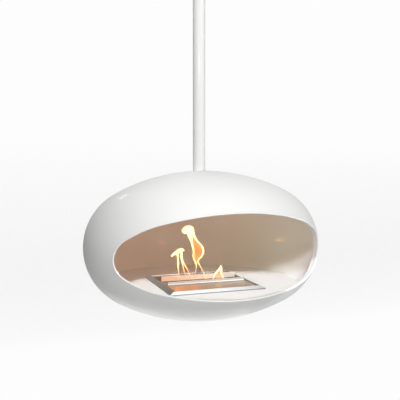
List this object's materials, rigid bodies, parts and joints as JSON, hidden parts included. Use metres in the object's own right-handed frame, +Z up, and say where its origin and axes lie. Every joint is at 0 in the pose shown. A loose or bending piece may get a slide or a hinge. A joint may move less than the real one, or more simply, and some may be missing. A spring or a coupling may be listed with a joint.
{
  "type": "hanging fireplace",
  "caption": "Oval white hearth hung from the ceiling on a swivelling pole, with a wide front opening, a lift-out burner tray and a sliding lid.",
  "frame": {"origin": "middle of the ceiling plate's upper face, on the pole's axis, where the fireplace meets the ceiling", "axes": "+Z up along the pole into the ceiling; the fire opening faces -Y; +X to the right as seen from behind the opening, which is the viewer's right when facing the opening"},
  "size_m": [0.9, 0.8575, 1.6884],
  "materials": {
    "white_paint": "satin",
    "polished_steel": "polished",
    "brushed_frame": "brushed",
    "sheet_steel": "satin",
    "zinc_steel": "zinc plated",
    "black_steel": "oiled",
    "bronze": "turned",
    "ceramic_wool": "matt"
  },
  "bodies": {
    "ceiling_mount": {"ceiling_plate": "zinc_steel", "swivel_housing": "zinc_steel", "flange_screws": "zinc_steel", "swivel_bush": "bronze", "ceiling_canopy": "white_paint", "canopy_screws": "white_paint"},
    "hearth": {"thrust_washer": "zinc_steel", "swivel_spindle": "zinc_steel", "lock_nut": "zinc_steel", "pole_head_plug": "zinc_steel", "pole": "white_paint", "pole_foot_plug": "zinc_steel", "neck_boss": "zinc_steel", "neck_set_screws": "black_steel", "clamp_washer": "zinc_steel", "clamp_bolt": "zinc_steel", "upper_dish": "white_paint", "lower_dish": "white_paint", "opening_rim": "white_paint", "hearth_deck": "white_paint", "deck_tabs": "zinc_steel", "deck_studs": "zinc_steel", "deck_nuts": "zinc_steel", "burner_well": "sheet_steel"},
    "burner": {"burner_frame": "brushed_frame", "burner_top": "polished_steel", "fuel_tank": "sheet_steel", "ceramic_wool": "ceramic_wool", "fuel_screen": "sheet_steel", "rear_rail": "polished_steel", "lid_guide_left": "brushed_frame", "lid_guide_right": "brushed_frame"},
    "lid": {"lid_plate": "polished_steel", "lid_rail": "polished_steel"}
  },
  "joints": [
    {"name": "pole_swivel", "type": "hinge", "parent": "ceiling_mount", "child": "hearth", "pos_m": [0, 0, -0.034], "axis": [0, 0, 1], "continuous": true},
    {"name": "burner_lift", "type": "slide", "parent": "hearth", "child": "burner", "axis": [0, 0, 1], "range_m": [0, 0.08]},
    {"name": "lid_slide", "type": "slide", "parent": "burner", "child": "lid", "axis": [0, 1, 0], "range_m": [0, 0.0867]}
  ]
}
